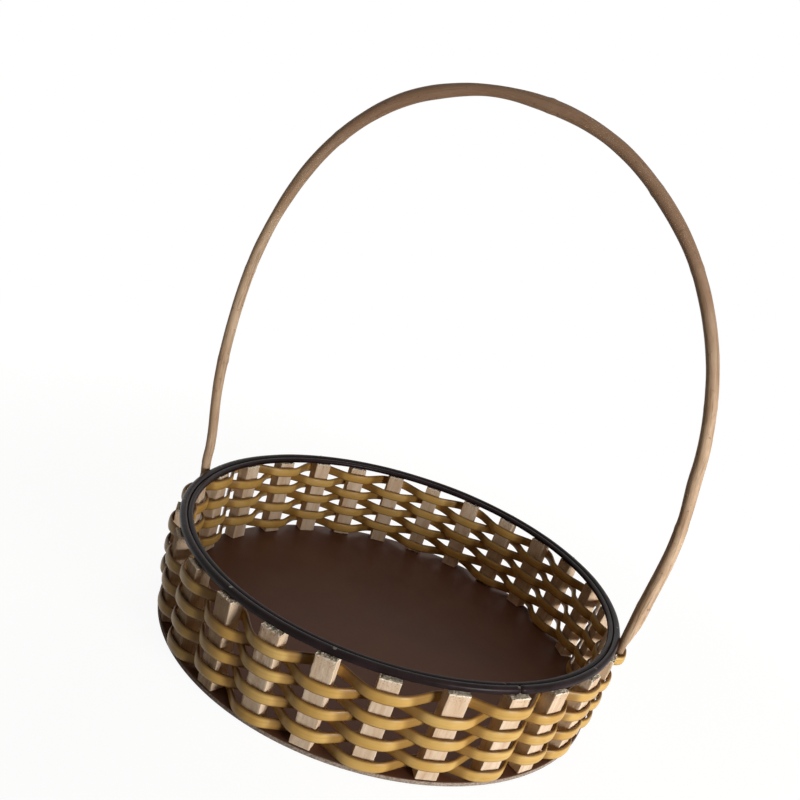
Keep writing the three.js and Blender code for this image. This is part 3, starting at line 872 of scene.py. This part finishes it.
def make_nail(name, head, point):
    """Rings along the nail from the middle of its head to its point. The shank ends in a cone."""
    head, point = np.array(head, float), np.array(point, float)
    length = np.linalg.norm(point - head)
    way = unit(point - head)
    side = unit(np.cross(way, [0.3, 0.5, 0.81]))
    other = np.cross(way, side)
    shank = [(length / MM - CONE_LENGTH, SHANK_RADIUS), (length / MM, POINT_RADIUS)]
    depth, radius = np.array(HEAD_PROFILE + shank).T * MM
    sides, asides = np.tile(side, (len(depth), 1)), np.tile(other, (len(depth), 1))
    outline = oval(1, 1, 20)[None] * radius[:, None, None]
    return skin(name, tube(head + depth[:, None] * way, sides, asides, outline))


steel = nail_look()
for number in range(1, RIM_NAILS + 1):
    low, high = extent(f"rim_nail_{number}")
    x, y = (low[:2] + high[:2]) / 2
    nail = make_nail(f"wire_nail_{number}", (x, y, high[2] - HEAD_SINK), (x, y, low[2]))
    place(nail, steel, "steel", f"rim_nail_{number}")
for name, one in (("left", LEFT_LEG), ("right", RIGHT_LEG)):
    low, high = extent(f"leg_nail_{name}")
    reach, height = np.abs([low[0], high[0]]).max(), (low[2] + high[2]) / 2
    head, tip = around([reach, reach - high[0] + low[0]], one["angle"], height)
    place(make_nail(f"wire_nail_{name}", head, tip), steel, "steel", f"leg_nail_{name}")
print("nails in rim and legs")

# %% [markdown]
# ## Floor, light and camera
# The basket stands on a white floor that the camera sees as plain white. A low window near its right
# front gives most of the light, so the left falls off into the shade. A weaker lamp above it and one
# behind it, which makes no highlights, keep the rest readable. The camera was placed by fitting it to
# the rim, the board's edge and the stakes. It is turned about its own axis, so that the basket leans
# in the picture.

# %% Floor
def seen(tree):
    """1 for the camera's own rays and for those that a shiny or clear surface sends on, else 0."""
    kinds = ("Is Camera Ray", "Is Glossy Ray", "Is Transmission Ray")
    camera_ray, glossy_ray, clear_ray = [add_node(tree, "LightPath", output=kind) for kind in kinds]
    return camera_ray + glossy_ray + clear_ray


PAPER_SHARE = 0.25


def white_floor():
    """Paper that lights the basket from below as paper does. To the camera it is plain white far from
    the basket. Near it a quarter of the paper shows, with the basket's soft shadow, and the white is
    as much stronger as its share is smaller."""
    material = bpy.data.materials.new("white_floor")
    material.use_nodes = True
    tree = material.node_tree
    tree.nodes.clear()
    x, y, _ = split(add_node(tree, "TexCoord", output="Object"))
    far = from_axis(x, y).step(0.25, 0.8)
    strength = far * -PAPER_SHARE + (1 + PAPER_SHARE)
    white_share = far * PAPER_SHARE + (1 - PAPER_SHARE)
    paper = add_node(tree, "BsdfDiffuse", None, {"Color": (0.5, 0.5, 0.5)})
    white = add_node(tree, "Emission", None, {"Color": (1, 1, 1), "Strength": strength})
    both = add_node(tree, "MixShader", None, {0: seen(tree) * white_share, 1: paper, 2: white})
    add_node(tree, "OutputMaterial", None, {"Surface": both})
    return material


FLOOR_REACH, FLOOR_HEIGHT = 3, -0.5 * MM
floor_mesh = bpy.data.meshes.new("floor")
floor_mesh.from_pydata([(x * FLOOR_REACH, y * FLOOR_REACH, FLOOR_HEIGHT)
                        for x, y in ((-1, -1), (1, -1), (1, 1), (-1, 1))], [], [(0, 1, 2, 3)])
floor_mesh.materials.append(white_floor())
floor = bpy.data.objects.new("floor", floor_mesh)
bpy.context.collection.objects.link(floor)
print("white floor")


# %% World
def white_room(strength):
    """A dim warm room light for the basket, and plain white for the camera and in reflections."""
    world = bpy.data.worlds.new("room")
    world.use_nodes = True
    tree = world.node_tree
    tree.nodes.clear()
    room = add_node(tree, "Background", None, {"Color": (1.0, 0.78, 0.58), "Strength": strength})
    white = add_node(tree, "Background", None, {"Color": (1, 1, 1), "Strength": 1.0})
    both = add_node(tree, "MixShader", None, {0: seen(tree), 1: room, 2: white})
    add_node(tree, "OutputWorld", None, {"Surface": both})
    return world


bpy.context.scene.world = white_room(0.05)
print("white room")


# %% Lamps
def lamp(name, spot, target, size, power, tint, mirrored=True):
    """A square lamp that faces a target. One that isn't mirrored makes no highlights."""
    light = bpy.data.lights.new(name, "AREA")
    light.size = size
    light.energy = power
    light.color = tint
    body = bpy.data.objects.new(name, light)
    spot, target = Vector(spot), Vector(target)
    body.location = spot
    body.rotation_euler = (target - spot).to_track_quat("-Z", "Y").to_euler()
    body.visible_glossy = mirrored
    bpy.context.collection.objects.link(body)


lamp("window", spot=(0.91, -0.62, 0.17), target=(0, 0, 0.08), size=0.35, power=11.5,
     tint=(1.0, 0.98, 0.95))
lamp("ceiling", spot=(0.3, -0.3, 1.8), target=(0, 0, 0), size=1.0, power=4, tint=(1.0, 0.9, 0.8))
lamp("behind", spot=(-0.1, 1.55, 0.45), target=(0, 0, 0.1), size=0.8, power=12,
     tint=(1.0, 0.92, 0.84), mirrored=False)
print("a window, a ceiling lamp and a lamp behind")

# %% Camera
PICTURE, SENSOR = 800, 36
# The focal length and the lens's middle are in pixels, places in millimetres and turns in degrees.
CAMERA = {"focal": 836.0, "centre": (481.0, 493.0), "spot": (31.318, -530.969, 304.952),
          "target": (31.3, 13.0, 120.1), "roll": 20.3, "turn": 4.57}


def place_camera():
    """Looks from its spot to its target, rolled about its own axis. The shift moves the picture so
    that the lens's middle falls on the given pixel."""
    turn = Matrix.Rotation(math.radians(CAMERA["turn"]), 3, "Z")
    spot = turn @ (Vector(CAMERA["spot"]) * MM)
    target = turn @ (Vector(CAMERA["target"]) * MM)
    data = bpy.data.cameras.new("camera")
    data.sensor_width = SENSOR
    data.lens = CAMERA["focal"] / PICTURE * SENSOR
    data.shift_x = -(CAMERA["centre"][0] - PICTURE / 2) / PICTURE
    data.shift_y = (CAMERA["centre"][1] - PICTURE / 2) / PICTURE
    data.clip_start = 10 * MM
    back = (spot - target).normalized()
    right = (-back).cross(Vector((0, 0, 1))).normalized()
    up = right.cross(-back)
    roll = math.radians(CAMERA["roll"])
    side = right * math.cos(roll) + up * math.sin(roll)
    top = up * math.cos(roll) - right * math.sin(roll)
    camera = bpy.data.objects.new("camera", data)
    camera.matrix_world = Matrix((side, top, back)).transposed().to_4x4()
    camera.location = spot
    bpy.context.collection.objects.link(camera)
    bpy.context.scene.camera = camera
    return camera


camera = place_camera()
bpy.context.scene.view_settings.view_transform = "Standard"
print("camera at", [round(value, 3) for value in camera.location])
